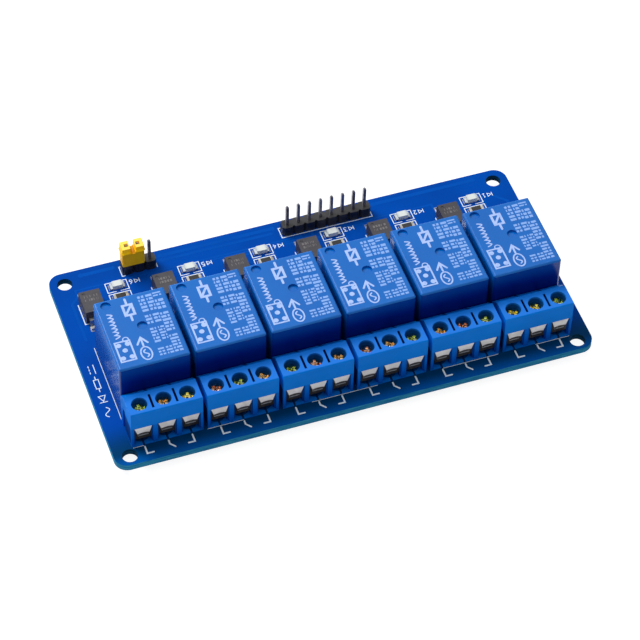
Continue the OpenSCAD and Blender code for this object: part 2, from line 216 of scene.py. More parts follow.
class Finish:
    # one material, or the world, and the nodes that make it
    def __init__(self, name, owner=None):
        self.material = owner or bpy.data.materials.new(name)
        self.material.use_nodes = True
        self.tree = self.material.node_tree
        self.tree.nodes.clear()
        self.place = None

    def add(self, kind, settings=None, inputs=None, out=0):
        node = self.tree.nodes.new(kind)
        for key, value in (settings or {}).items():
            if key == "steps":
                # a ramp that jumps from colour to colour
                node.color_ramp.interpolation = "CONSTANT"
                stops = node.color_ramp.elements
                for stop in list(stops)[1:]:
                    stops.remove(stop)
                stops[0].position, stops[0].color = value[0]
                for position, colour in value[1:]:
                    stops.new(position).color = colour
            else:
                setattr(node, key, value)
        for key, value in (inputs or {}).items():
            if isinstance(value, Wire):
                self.tree.links.new(value.socket, node.inputs[key])
            else:
                node.inputs[key].default_value = value
        return Wire(self, node.outputs[out]) if node.outputs else None

    def spot(self, axis=None):
        if self.place is None:
            self.place = self.add("ShaderNodeTexCoord", None, None, "Object")
            self.parts = self.add("ShaderNodeSeparateXYZ", None, {0: self.place})
        return self.place if axis is None else self.parts.side(axis)

    def within(self):
        # X measured from the middle of its own channel
        shifted = self.spot("X") + channelPitch * channelCount / 2
        return shifted % channelPitch - channelPitch / 2

    def way(self):
        # offset along X from the nearest screw, and the distance from its axis
        within = self.within()
        across = within - round(within / wayPitch) * wayPitch
        return across, (across ** 2.0 + (self.spot("Y") - screwY) ** 2.0) ** 0.5

    def noise(self, scale, detail=3.0, rough=0.5, stretch=None):
        at = self.spot()
        if stretch is not None:
            at = self.add("ShaderNodeMapping", {"vector_type": "POINT"},
                          {"Vector": at, "Scale": stretch})
        return self.add("ShaderNodeTexNoise", None,
                        {"Vector": at, "Scale": scale, "Detail": detail, "Roughness": rough})

    def ease(self, value, low, high, start=0.0, end=1.0):
        return self.add("ShaderNodeMapRange", {"interpolation_type": "SMOOTHSTEP", "clamp": True},
                        {"Value": value, "From Min": low, "From Max": high,
                         "To Min": start, "To Max": end})

    def blend(self, share, first, second, way="MIX"):
        return self.add("ShaderNodeMix", {"data_type": "RGBA", "blend_type": way},
                        {0: share, 6: first, 7: second}, 2)

    def bump(self, height, strength=0.3, distance=0.0001):
        return self.add("ShaderNodeBump", None,
                        {"Strength": strength, "Distance": distance, "Height": height})

    def surface(self, **inputs):
        names = {"colour": "Base Color", "roughness": "Roughness", "metallic": "Metallic",
                 "normal": "Normal", "specular": "Specular IOR Level",
                 "glow": "Emission Color", "glowStrength": "Emission Strength"}
        return self.add("ShaderNodeBsdfPrincipled", None,
                        {names[key]: value for key, value in inputs.items()})

    def directly(self):
        # 1 where the camera, a mirror or clear stuff looks, 0 for plain light
        seen = self.add("ShaderNodeLightPath", None, None, "Is Camera Ray")
        return seen | seen.side("Is Glossy Ray") | seen.side("Is Transmission Ray")

    def close(self, shader, kind="ShaderNodeOutputMaterial"):
        self.add(kind, None, {0: shader})
        return self.material


def tint(red, green, blue):
    # screen values 0 to 255 as a linear colour
    def line(value):
        value /= 255
        return value / 12.92 if value <= 0.04045 else ((value + 0.055) / 1.055) ** 2.4
    return (line(red), line(green), line(blue), 1.0)


def dress(material, *names):
    for name in names:
        mesh = nodes[name].data
        mesh.materials.clear()
        mesh.materials.append(material)


def family(prefix):
    return [name for name in nodes if name.startswith(prefix)]


# world and floor

stagePlan = {
    "ambient": 0.26, "white": (1, 1, 1, 1), "faint": (0.3, 0.3, 0.3, 1), "glow": 0.9,
    "floorColour": tint(238, 240, 242), "size": 6.0, "drop": 0.0001,   # m
}


def makeWorld():
    world = bpy.data.worlds.new("studio")
    bpy.context.scene.world = world
    sky = Finish("studio", world)
    strength = stagePlan["ambient"] + sky.directly() * (1.0 - stagePlan["ambient"])
    sky.close(sky.add("ShaderNodeBackground", None, {"Color": stagePlan["white"], "Strength": strength}),
              "ShaderNodeOutputWorld")


def makeFloor():
    shape = bmesh.new()
    bmesh.ops.create_grid(shape, x_segments=1, y_segments=1, size=stagePlan["size"],
                          matrix=Matrix.Translation((0, 0, cadBox[0].z - stagePlan["drop"])))
    mesh = bpy.data.meshes.new("floor")
    shape.to_mesh(mesh)
    shape.free()
    floor = bpy.data.objects.new("floor", mesh)
    bpy.context.scene.collection.objects.link(floor)
    paper = Finish("floorPaper")
    matt = paper.add("ShaderNodeBsdfDiffuse", None, {"Color": stagePlan["floorColour"]})
    faint = paper.add("ShaderNodeBsdfDiffuse", None, {"Color": stagePlan["faint"]})
    glow = paper.add("ShaderNodeEmission", None,
                     {"Color": stagePlan["white"], "Strength": stagePlan["glow"]})
    white = paper.add("ShaderNodeAddShader", None, {0: glow, 1: faint})
    mixed = paper.add("ShaderNodeMixShader", None, {0: paper.directly(), 1: matt, 2: white})
    mesh.materials.append(paper.close(mixed))
    floor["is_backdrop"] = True


makeWorld()
makeFloor()
bpy.context.scene.view_settings.view_transform = "Standard"
print("camera, lights and floor made")

# finishes for the solids

boardFinish = {
    "mask": tint(0, 75, 174), "maskDark": tint(0, 68, 162), "maskShade": tint(0, 58, 104),
    "maskFrontShade": tint(0, 84, 164), "edge": tint(54, 144, 180), "edgeDark": tint(24, 112, 162),
    "boreShade": tint(20, 80, 110), "boreShadeDark": tint(0, 48, 80),
    "endBand": 1.2, "sideBand": 0.6,   # mm inside the outline that count as its edge
}


def boardMaterial():
    f = Finish("board_mask")
    z = f.spot("Z")
    rim = (z > boardUnder + 0.02 * mm) * (z < boardTop - 0.02 * mm)
    outer = ((abs(f.spot("X")) > boardHigh.x - boardFinish["endBand"] * mm)
             | (abs(f.spot("Y")) > boardHigh.y - boardFinish["sideBand"] * mm))
    cloud = f.noise(60, 3)
    mask = f.blend(f.ease(cloud, 0.35, 0.7), boardFinish["mask"], boardFinish["maskDark"])
    # painted shade: the mask darkens in front of the terminal blocks, where their shadow falls, and
    # lightens a little towards the board's front edge
    front = f.ease(f.spot("Y"), terminalFront + 8 * mm, terminalFront - 1 * mm)
    outward = f.ease(f.spot("Y"), terminalFront - 0.8 * mm, boardLow.y)
    mask = f.blend(front, mask, f.blend(outward, boardFinish["maskShade"], boardFinish["maskFrontShade"]))
    layers = f.noise(900, 2, 0.6, (0.25, 0.25, 5.0))
    edge = f.blend(f.ease(layers, 0.35, 0.65), boardFinish["edge"], boardFinish["edgeDark"])
    # painted shade: the walls of the holes are darker than the board's outer edge
    boreShade = f.blend(f.ease(layers, 0.35, 0.65), boardFinish["boreShade"], boardFinish["boreShadeDark"])
    side = f.blend(outer, boreShade, edge)
    colour = f.blend(rim, mask, side)
    waves = [f.add("ShaderNodeTexWave", {"bands_direction": axis},
                   {"Vector": f.spot(), "Scale": 320.0, "Distortion": 1.2}) for axis in "XY"]
    height = (waves[0] + waves[1]) * 0.35 + layers * rim * 2
    normal = f.bump(height, 0.25, 0.00003)
    rough = f.ease(cloud, 0.3, 0.7, 0.30, 0.42) + rim * 0.35
    return f.close(f.surface(colour=colour, roughness=rough, specular=0.03, normal=normal))


relayFinish = {
    "case": tint(0, 104, 193), "caseDark": tint(0, 96, 183), "caseLowShade": tint(0, 66, 152),
    "front": tint(0, 62, 156), "frontLowShade": tint(0, 31, 134), "pin": tint(205, 205, 208),
    "fade": 8.0, "frontFade": 5.0, "edge": 0.45,   # mm below the top
}


def relayMaterial():
    f = Finish("relay_plastic")
    z = f.spot("Z")
    top = relayHigh.z
    # painted shade: the case walls darken towards the bottom
    upper = f.ease(z, top - relayFinish["fade"] * mm, top - 0.2 * mm)
    side = z < top - relayFinish["edge"] * mm
    cloud = f.noise(90, 3)
    lid = f.blend(f.ease(cloud, 0.3, 0.75), relayFinish["case"], relayFinish["caseDark"])
    wall = f.blend(upper, relayFinish["caseLowShade"], lid)
    # painted shade: the front faces are darker than the other walls, most of all low down
    frontUpper = f.ease(z, top - relayFinish["frontFade"] * mm, top - 0.8 * mm)
    ahead = f.ease(f.spot("Y"), relayLow.y + 0.6 * mm, relayLow.y)
    front = f.blend(frontUpper, relayFinish["frontLowShade"], relayFinish["front"])
    case = f.blend(ahead * side, wall, front)
    pin = z < boardTop - 0.01 * mm
    colour = f.blend(pin, case, relayFinish["pin"])
    grain = f.noise(2600, 2, 0.6)
    ripple = f.noise(140, 2)
    normal = f.bump(grain * 0.25 + ripple * 1.2, 0.2, 0.00005)
    rim = (z > top - relayFinish["edge"] * mm) * (z < top - 0.03 * mm)
    rough = f.ease(cloud, 0.3, 0.7, 0.31, 0.38) - side * 0.15 + rim * 0.3
    return f.close(f.surface(colour=colour, roughness=rough, metallic=pin, specular=0.36, normal=normal))


terminalFinish = {
    "body": tint(0, 130, 236), "bodyDark": tint(0, 124, 228), "mid": tint(0, 110, 216),
    "low": tint(0, 92, 202), "rearShade": tint(0, 114, 214), "openingShade": tint(0, 30, 84),
    "floor": tint(0, 116, 226), "slit": tint(0, 20, 52), "slot": tint(0, 26, 96),
    "wellShade": tint(0, 66, 128), "topHighlight": tint(40, 123, 224), "topRearShade": tint(18, 108, 204),
    "crestFoot": 10.27, "openingTop": 5.69, "floorTop": 0.3,          # mm above the board
    "openingDepth": 4.65, "slotStart": 0.75,                          # mm behind the front
    "wellRadius": 1.72, "slotHalf": 0.3, "slitHalf": 0.2,
}


def terminalMaterial():
    f = Finish("terminal_plastic")
    y, z = f.spot("Y"), f.spot("Z")
    cloud = f.noise(120, 3)
    upper = f.blend(f.ease(cloud, 0.3, 0.7), terminalFinish["body"], terminalFinish["bodyDark"])
    # painted shade: the upper body darkens towards the rear
    rearShade = f.ease(y, terminalFront + 3.0 * mm, terminalFront + 5.0 * mm)
    upper = f.blend(rearShade, upper, terminalFinish["rearShade"])
    # painted shade: the lower body is painted darker, most of all near the board
    rise = f.ease(z, boardTop + 1.0 * mm, boardTop + 5.6 * mm)
    lower = f.blend(rise, terminalFinish["low"], terminalFinish["mid"])
    body = f.blend(f.ease(z, boardTop + 5.5 * mm, boardTop + 6.1 * mm), lower, upper)
    # painted highlight on the top face, fading to a painted shade at its rear
    topHighlight = f.blend(rearShade, terminalFinish["topHighlight"], terminalFinish["topRearShade"])
    body = f.blend(z > boardTop + terminalFinish["crestFoot"] * mm, body, topHighlight)
    # painted shade inside the wire openings, but the floor strip stays plain, save for its slit painted
    # dark as shade
    across, away = f.way()
    inside = f.ease(y, terminalFront + 0.1 * mm, terminalFront + 0.9 * mm)
    opening = ((z < boardTop + terminalFinish["openingTop"] * mm)
               * (y < terminalFront + terminalFinish["openingDepth"] * mm))
    dim = f.blend(inside * opening * 0.85, body, terminalFinish["openingShade"])
    floor = (z < boardTop + terminalFinish["floorTop"] * mm) * opening
    dim = f.blend(floor, dim, terminalFinish["floor"])
    slit = floor * (abs(across) < terminalFinish["slitHalf"] * mm)
    dim = f.blend(slit, dim, terminalFinish["slit"])
    # painted shade: the screw wells and the narrow slots go darker below the top
    sunk = f.ease(z, boardTop + 10.25 * mm, boardTop + 9.4 * mm)
    wellShade = (away < terminalFinish["wellRadius"] * mm) * sunk
    slot = (abs(across) > wayPitch / 2 - terminalFinish["slotHalf"] * mm) * (abs(f.within()) < wayPitch)
    slot = slot * (y > terminalFront + terminalFinish["slotStart"] * mm) * (z < boardTop + 10.1 * mm)
    colour = f.blend(wellShade * 0.9, dim, terminalFinish["wellShade"])
    colour = f.blend(slot * 0.9, colour, terminalFinish["slot"])
    grain = f.noise(1900, 3, 0.6)
    normal = f.bump(grain, 0.18, 0.00005)
    rough = f.ease(f.noise(300, 2), 0.3, 0.7, 0.38, 0.5) + wellShade * 0.45
    return f.close(f.surface(colour=colour, roughness=rough, specular=0.06, normal=normal))


screwFinish = {
    "green": tint(164, 186, 84), "yellow": tint(216, 206, 98), "gold": tint(214, 182, 122),
    "copper": tint(196, 142, 116), "wearAndGlint": tint(255, 252, 236), "film": 0.2,
    "order": ["green", "gold", "yellow", "copper", "green", "gold", "green", "copper", "gold",
              "copper", "gold", "green", "gold", "copper", "green", "yellow", "yellow", "green"],
}


def screwMaterial():
    # every screw has its own shade of yellow zinc; the pale rim and crown are partly wear, partly a painted
    # glint
    f = Finish("yellow_zinc")
    across, away = f.way()
    count = len(wayXs)
    steps = [(k / count, screwFinish[shade]) for k, shade in enumerate(screwFinish["order"])]
    channel = (f.spot("X") - f.within()) / channelPitch + (channelCount - 1) / 2
    order = channel * wayCount + (f.within() - across) / wayPitch + wayCount / 2
    shade = f.add("ShaderNodeValToRGB", {"steps": steps}, {0: order / count})
    patch = f.noise(700, 2, 0.6)
    film = f.blend(f.ease(patch, 0.35, 0.7) * screwFinish["film"], shade, screwFinish["gold"])
    # wear and painted glint: paler at the rim and round the crown
    rim = f.ease(away, 0.95 * mm, 1.25 * mm)
    crownWearGlint = f.ease(away, 0.35 * mm, 0.75 * mm, 1.0, 0.0)
    colour = f.blend((rim * 0.7 + crownWearGlint * 0.85) * f.ease(patch, 0.25, 0.5), film, screwFinish["wearAndGlint"])
    lathe = f.noise(2600, 2, 0.5)
    dome = f.ease(away, 0.9 * mm, 1.65 * mm)
    normal = f.bump(lathe * 0.3 + patch * 0.5 - dome * 3.0, 1.0, 0.00006)
    rough = f.ease(lathe, 0.3, 0.7, 0.1, 0.22)
    return f.close(f.surface(colour=colour, roughness=rough, metallic=1.0, normal=normal))


platedFinish = {
    "bright": tint(248, 244, 240), "dull": tint(222, 218, 214), "bar": tint(160, 162, 162),
    "clamp": tint(176, 170, 158), "clampDull": tint(120, 114, 104), "shade": tint(34, 26, 20),
    "barTop": 3.12, "archTop": 4.0, "archDrop": 0.3, "archHalf": 1.45,   # mm
}


def platedMaterial(name, bright, dull, low, high, dark):
    # dark(f) is the share painted with the shade of the opening; the bar end below it is painted a
    # half-shaded grey
    f = Finish(name)
    stain = f.noise(420, 4, 0.6)
    draw = f.noise(2200, 2, 0.5, (6.0, 1.0, 1.0))
    plate = f.blend(f.ease(stain, 0.35, 0.7), platedFinish[bright], platedFinish[dull])
    bar = (f.spot("Z") < boardTop + platedFinish["barTop"] * mm) * (f.spot("Z") > boardTop)
    plate = f.blend(bar, plate, platedFinish["bar"])
    colour = f.blend(dark(f) * 0.95, plate, platedFinish["shade"])
    normal = f.bump(draw + stain, 0.2, 0.00004)
    rough = f.ease(stain, 0.3, 0.75, low, high)
    return f.close(f.surface(colour=colour, roughness=rough, metallic=0.35, normal=normal))


def lipShade(f):
    # the front lip ends in a low arch; the web behind it is dark
    drop = (f.way()[0] / (platedFinish["archHalf"] * mm)) ** 2.0 * platedFinish["archDrop"] * mm
    arch = boardTop + platedFinish["archTop"] * mm - drop
    behind = f.ease(f.spot("Y"), terminalFront + 0.345 * mm, terminalFront + 0.38 * mm)
    above = f.spot("Z") > boardTop + platedFinish["barTop"] * mm
    return ((f.spot("Z") < arch) | behind) * above


def clampShade(f):
    return f.spot("Y") < screwY - 1.9 * mm


chipFinish = {
    "opto": tint(54, 52, 58), "optoDark": tint(42, 40, 46), "black": tint(30, 30, 32),
    "blackDark": tint(20, 20, 22), "tin": tint(205, 203, 198), "tinDull": tint(160, 158, 152),
    "ceramic": tint(222, 218, 206), "glaze": tint(24, 22, 24),
    "lamp": tint(196, 204, 208), "lampDeep": tint(222, 228, 224), "lampBase": tint(222, 222, 220),
    "lampEndShade": tint(112, 126, 154),
}


def leadedMaterial(name, body, bodyDark, metal):
    # moulded body with tinned leads; metal(f) says where the leads are
    f = Finish(name)
    share = metal(f)
    cloud = f.noise(500, 4, 0.6)
    moulded = f.blend(f.ease(cloud, 0.3, 0.7), chipFinish[body], chipFinish[bodyDark])
    tin = f.blend(f.ease(cloud, 0.35, 0.65), chipFinish["tin"], chipFinish["tinDull"])
    colour = f.blend(share, moulded, tin)
    grain = f.noise(3800, 2, 0.6)
    normal = f.bump(grain, 0.25, 0.00003)
    rough = f.ease(cloud, 0.3, 0.7, 0.46, 0.58) - share * 0.2
    return f.close(f.surface(colour=colour, roughness=rough, metallic=share, normal=normal))


def optoLeads(f):
    return abs(f.spot("Y") - optoY) > (parts["optoLength"] / 2 + 0.01) * mm


def transistorLeads(f):
    return abs(f.spot("Y") - transistorY) > (parts["transistorWidth"] / 2 + 0.01) * mm


def diodeLeads(f):
    reach = abs(f.within() - parts["diodeX"] * mm) > (parts["diodeLength"] / 2 + 0.01) * mm
    return reach | (f.spot("Z") < boardTop + 0.09 * mm)


def endShare(f):
    inner = parts["chipLength"] / 2 - parts["endCap"] - 0.005
    return abs(f.within() - parts["lampX"] * mm) > inner * mm


def resistorMaterial():
    f = Finish("chip_resistor")
    ends = endShare(f)
    cloud = f.noise(900, 3)
    glaze = f.spot("Z") > boardTop + 0.5 * mm
    body = f.blend(glaze, chipFinish["ceramic"], chipFinish["glaze"])
    tin = f.blend(f.ease(cloud, 0.35, 0.65), chipFinish["tin"], chipFinish["tinDull"])
    colour = f.blend(ends, body, tin)
    normal = f.bump(f.noise(3000, 2), 0.3, 0.00003)
    rough = 0.34 - ends * 0.08
    return f.close(f.surface(colour=colour, roughness=rough, metallic=ends, normal=normal))


def lampMaterial():
    # clear resin over a white heart, with dull ends painted a blue-grey shade
    f = Finish("lamp_resin")
    ends = endShare(f)
    base = f.spot("Z") < boardTop + 0.43 * mm
    away = abs(f.within() - parts["lampX"] * mm)
    heart = f.ease(away, 0.5 * mm, 1.2 * mm)
    cloud = f.noise(1200, 2)
    resin = f.blend(heart, chipFinish["lampDeep"], chipFinish["lamp"])
    low = f.blend(f.ease(cloud, 0.3, 0.7), chipFinish["lampBase"], chipFinish["lamp"])
    body = f.blend(base, resin, low)
    share = ends * base
    colour = f.blend(share, body, chipFinish["lampEndShade"])
    normal = f.bump(f.noise(2400, 2), 0.15, 0.00003)
    rough = 0.22 + share * 0.2
    return f.close(f.surface(colour=colour, roughness=rough, metallic=share * 0.4, normal=normal))


headerFinish = {
    "plastic": tint(24, 23, 26), "plasticWorn": tint(36, 34, 38),
    "pin": tint(156, 154, 158), "pinDeep": tint(122, 120, 126),
    "cap": tint(255, 202, 10), "capDeep": tint(255, 184, 0), "capTopHighlight": tint(255, 214, 92),
    "capSlotShade": tint(150, 96, 10), "spring": tint(206, 196, 160),
    "crestDepth": 0.03, "headDepth": 1.3, "slotHalf": (0.5, 1.15),   # mm
    "glow": 0.22, "lowPaintedGlow": 0.3,
}


def headerMaterial():
    f = Finish("header_plastic")
    cloud = f.noise(260, 3)
    colour = f.blend(f.ease(cloud, 0.35, 0.7), headerFinish["plastic"], headerFinish["plasticWorn"])
    grain = f.noise(2600, 3, 0.65)
    return f.close(f.surface(colour=colour, roughness=f.ease(cloud, 0.3, 0.7, 0.36, 0.5),
                             normal=f.bump(grain, 0.3, 0.00004)))


def pinMaterial():
    f = Finish("tinned_pin")
    stain = f.noise(600, 3, 0.6)
    colour = f.blend(f.ease(stain, 0.35, 0.7), headerFinish["pin"], headerFinish["pinDeep"])
    draw = f.noise(2600, 2, 0.5, (1.0, 1.0, 0.15))
    rough = f.ease(stain, 0.3, 0.7, 0.34, 0.46)
    return f.close(f.surface(colour=colour, roughness=rough, metallic=0.85,
                             normal=f.bump(draw, 0.2, 0.00002)))


def capMaterial():
    # painted glow: an emission stands in for light passing a little way through the thin walls, most at the
    # head
    f = Finish("cap_plastic")
    z, top = f.spot("Z"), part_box("jumper_cap")[1].z
    cloud = f.noise(240, 3)
    colour = f.blend(f.ease(cloud, 0.35, 0.7), headerFinish["cap"], headerFinish["capDeep"])
    # painted highlight on the top of the cap, and painted shade in its grip channel
    topHighlight = z > top - headerFinish["crestDepth"] * mm
    colour = f.blend(topHighlight, colour, headerFinish["capTopHighlight"])
    slotX, slotY = headerFinish["slotHalf"]
    slot = ((abs(f.spot("X") - middle("jumper_cap").x) < slotX * mm)
            * (abs(f.spot("Y") - headerY) < slotY * mm))
    colour = f.blend(slot * 0.7, colour, headerFinish["capSlotShade"])
    head = f.ease(z, top - (headerFinish["headDepth"] + 0.2) * mm, top - headerFinish["headDepth"] * mm)
    lowPaintedGlow = headerFinish["lowPaintedGlow"]
    glow = f.blend(head * (1 - lowPaintedGlow) + lowPaintedGlow, (0, 0, 0, 1), colour)
    grain = f.noise(2400, 3, 0.6)
    rough = f.ease(cloud, 0.3, 0.7, 0.3, 0.42)
    return f.close(f.surface(colour=colour, roughness=rough, specular=0.15, glow=glow,
                             glowStrength=headerFinish["glow"], normal=f.bump(grain, 0.25, 0.00004)))


def springMaterial():
    f = Finish("contact_spring")
    stain = f.noise(700, 3, 0.6)
    colour = f.blend(f.ease(stain, 0.35, 0.7), headerFinish["spring"], platedFinish["dull"])
    rough = f.ease(stain, 0.3, 0.7, 0.22, 0.36)
    return f.close(f.surface(colour=colour, roughness=rough, metallic=1.0,
                             normal=f.bump(stain, 0.2, 0.00003)))


solderFinish = {
    "bright": tint(216, 217, 220), "dull": tint(158, 160, 164),
    "padShade": tint(150, 158, 176), "padShadeDull": tint(96, 106, 130),
}


def solderMaterial(name, bright, dull):
    f = Finish(name)
    skin = f.noise(800, 4, 0.6)
    colour = f.blend(f.ease(skin, 0.4, 0.75), solderFinish[bright], solderFinish[dull])
    normal = f.bump(skin + f.noise(3200, 2), 0.3, 0.00005)
    rough = f.ease(skin, 0.3, 0.7, 0.2, 0.38)
    return f.close(f.surface(colour=colour, roughness=rough, metallic=1.0, normal=normal))


dress(boardMaterial(), "circuit_board")
dress(relayMaterial(), *family("relay_"))
dress(terminalMaterial(), *family("terminal_block_"))
dress(screwMaterial(), *family("terminal_screw_"))
dress(platedMaterial("clamp_plate", "clamp", "clampDull", 0.3, 0.45, clampShade), *family("wire_clamp_"))
dress(platedMaterial("contact_plate", "bright", "dull", 0.34, 0.48, lipShade), "terminal_contacts")
dress(leadedMaterial("opto_body", "opto", "optoDark", optoLeads), "optocouplers")
dress(leadedMaterial("transistor_body", "black", "blackDark", transistorLeads), "driver_transistors")
dress(leadedMaterial("diode_body", "black", "blackDark", diodeLeads), "flyback_diodes")
dress(lampMaterial(), "indicator_leds")
dress(resistorMaterial(), "chip_resistors")
dress(headerMaterial(), "header_housings")
dress(pinMaterial(), "header_pins")
dress(capMaterial(), "jumper_cap")
dress(springMaterial(), "jumper_contact")
dress(solderMaterial("solder", "bright", "dull"), "solder_joints")
print("solids dressed")


# flat work: lines drawn as ribbons and raised into plates together

class Sheet:
    # flat shapes at height 0, in mm in plan; each one lies a hair higher than the last where they cross
    def __init__(self):
        self.shape = bmesh.new()
        self.count = 0

    def lift(self):
        # never the same twice
        self.count += 1
        return self.count * 0.618 % 1 * 0.008 * mm

    def line(self, points, width, closed=False, square=False):
        spots = [Vector(point) * mm for point in points]
        half = width / 2 * mm
        lift = self.lift()
        last = len(spots) - 1
        rims = []
        for k, spot in enumerate(spots):
            before = spots[k - 1] if k or closed else None
            after = spots[(k + 1) % len(spots)] if k < last or closed else None
            come = (spot - before).normalized() if before is not None else (after - spot).normalized()
            leave = (after - spot).normalized() if after is not None else come
            comeSide, leaveSide = Vector((-come.y, come.x)), Vector((-leave.y, leave.x))
            mitre = (comeSide + leaveSide).normalized()
            reach = half / max(mitre.dot(comeSide), 0.5)
            rims.append((spot + mitre * reach, spot - mitre * reach))
            if not closed and not square and k in (0, last):
                away = -come if k == 0 else come
                tip = spot + away * half * 0.8
                end = (tip + comeSide * half * 0.5, tip - comeSide * half * 0.5)
                rims.insert(0 if k == 0 else len(rims), end)
        if closed:
            rims.append(rims[0])
        pair = [self.shape.verts.new((side.x, side.y, lift)) for side in rims[0]]
        edge = self.shape.edges.new(pair)
        first = pair
        for rim in rims[1:]:
            made = bmesh.ops.extrude_edge_only(self.shape, edges=[edge])["geom"]
            fresh = [g for g in made if isinstance(g, bmesh.types.BMVert)]
            if (fresh[0].co - pair[0].co).length > (fresh[0].co - pair[1].co).length:
                fresh.reverse()
            for vert, side in zip(fresh, rim):
                vert.co = (side.x, side.y, lift)
            edges = (g for g in made if isinstance(g, bmesh.types.BMEdge))
            edge = next(g for g in edges if set(g.verts) == set(fresh))
            pair = fresh
        if closed:
            bmesh.ops.weld_verts(self.shape, targetmap=dict(zip(pair, first)))

    def box(self, centre, size, width, gap=0.0):
        # outline of a rectangle; a gap leaves the middle of its front line open
        x, y = centre
        a, b = size[0] / 2 - width / 2, size[1] / 2 - width / 2
        corners = [(x - a, y - b), (x - a, y + b), (x + a, y + b), (x + a, y - b)]
        if gap:
            self.line([(x - gap / 2, y - b)] + corners + [(x + gap / 2, y - b)], width)
        else:
            self.line(corners, width, closed=True)

    def bar(self, centre, size):
        x, y = centre
        self.line([(x - size[0] / 2, y), (x + size[0] / 2, y)], size[1], square=True)

    def ring(self, centre, radius, width, steps=20, stretch=1.0):
        self.line([(centre[0] + radius * math.cos(2 * math.pi * k / steps),
                    centre[1] + radius * stretch * math.sin(2 * math.pi * k / steps))
                   for k in range(steps)], width, closed=True)

    def wave(self, start, swing, length, width, steps=12):
        # one full wave along Y
        self.line([(start[0] + swing * math.sin(2 * math.pi * k / steps), start[1] + length * k / steps)
                   for k in range(steps + 1)], width)

    def disc(self, centre, radius, steps=20):
        place = Matrix.Translation((centre[0] * mm, centre[1] * mm, self.lift()))
        bmesh.ops.create_circle(self.shape, cap_ends=True, radius=radius * mm, segments=steps,
                                matrix=place)

    def raised(self, z, thick):
        # the flat work becomes closed plates from z to z + thick
        shape = self.shape
        made = bmesh.ops.extrude_face_region(shape, geom=list(shape.faces), use_keep_orig=True)["geom"]
        bmesh.ops.translate(shape, verts=[g for g in made if isinstance(g, bmesh.types.BMVert)],
                            vec=(0, 0, thick))
        bmesh.ops.translate(shape, verts=shape.verts, vec=(0, 0, z))
        return shape

    def printed(self, z, thick, sink=0.01):
        # plates thick mm high on a surface at z, sunk into it a little
        return self.raised(z - sink * mm, (thick + sink) * mm)


def slab(shape, centre, size, z, thick):
    # a plain plate, mm in plan
    made = bmesh.ops.create_cube(shape, size=1)
    bmesh.ops.scale(shape, verts=made["verts"], vec=(size[0] * mm, size[1] * mm, thick))
    bmesh.ops.translate(shape, verts=made["verts"], vec=(centre[0] * mm, centre[1] * mm, z + thick / 2))
    return made["verts"]


def finishPiece(name, shape, material, body="board"):
    bmesh.ops.recalc_face_normals(shape, faces=shape.faces)
    mesh = bpy.data.meshes.new(name)
    shape.to_mesh(mesh)
    shape.free()
    mesh.materials.append(material)
    piece = bpy.data.objects.new(name, mesh)
    bpy.context.scene.collection.objects.link(piece)
    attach(piece, body)


def inkMaterial(name, ink, inkThin, soft=None):
    # soft ink, when given, is for the rows of small blocks beside the middle of each relay
    f = Finish(name)
    wear = f.noise(1800, 4, 0.65)
    colour = f.blend(f.ease(wear, 0.45, 0.8), ink, inkThin)
    if soft is not None:
        rowStart = relayPrintPlan["columns"][0][0] - 1
        colour = f.blend(f.within() > rowStart * mm, colour, soft)
    return f.close(f.surface(colour=colour, roughness=0.5, normal=f.bump(wear, 0.25, 0.00002)))


# printed lines on the board

printPlan = {
    "ink": tint(240, 250, 255), "inkThin": tint(200, 226, 250),
    "thick": 0.02,   # mm, and so are the rest
    "line": 0.18, "bold": 0.36, "fine": 0.15,
    "chipFrame": (4.9, 2.9), "diodeFrame": (6.0, 3.2), "transistorFrame": (3.6, 3.3),
    "optoFrame": (2.55, 1.3, 11.75, 17.4),   # half the gap and the foot, then low and high Y
    "numberX": 5.05, "numberHeight": 1.1, "lampSignX": 6.4, "numberRise": 0.35,
    "symbolTop": -23.5, "symbolLow": -25.35,
    "footInset": 0.17, "footWidth": 0.13,
    "footRuns": [(-48.2, -46.0), (-32.2, -24.4), (-9.5, 4.9), (19.5, 32.0), (40.5, 48.1)],
    "sideLine": [(-48.35, 4.9), (-48.35, -15.6)], "sideHook": [(48.8, -16.4), (49.2, -17.4), (49.0, -18.4)],
    "controlFrame": ((9.72, 23.75), (21.07, 3.1)),
    "selectFrame": [(-36.3, 22.4), (-37.0, 22.4), (-37.0, 25.2), (-29.0, 25.2), (-29.0, 22.7)],
    "signsX": -50.5,
}

digitStrokes = {   # plain numbers on a 2 by 4 grid
    "1": [[(0.4, 3.2), (1, 4), (1, 0)], [(0.3, 0), (1.7, 0)]],
    "2": [[(0, 3.2), (0.6, 4), (1.4, 4), (2, 3.2), (2, 2.6), (0, 0), (2, 0)]],
    "3": [[(0, 4), (2, 4), (1, 2.5), (2, 1.7), (2, 0.8), (1.3, 0), (0.4, 0), (0, 0.6)]],
    "4": [[(1.5, 0), (1.5, 4), (0, 1.2), (2, 1.2)]],
    "5": [[(2, 4), (0.2, 4), (0, 2.3), (1.3, 2.4), (2, 1.8), (2, 0.7), (1.3, 0), (0, 0.2)]],
    "6": [[(1.7, 4), (0.6, 3), (0, 1.6), (0, 0.7), (0.6, 0), (1.4, 0), (2, 0.7), (2, 1.4),
           (1.4, 2.1), (0.1, 1.5)]],
}


def numberMark(sheet, text, centre, height, width):
    # read from the back of the board
    unit = height / 4
    for points in digitStrokes[text]:
        sheet.line([(centre[0] - (x - 1) * unit, centre[1] - (y - 2) * unit) for x, y in points], width)


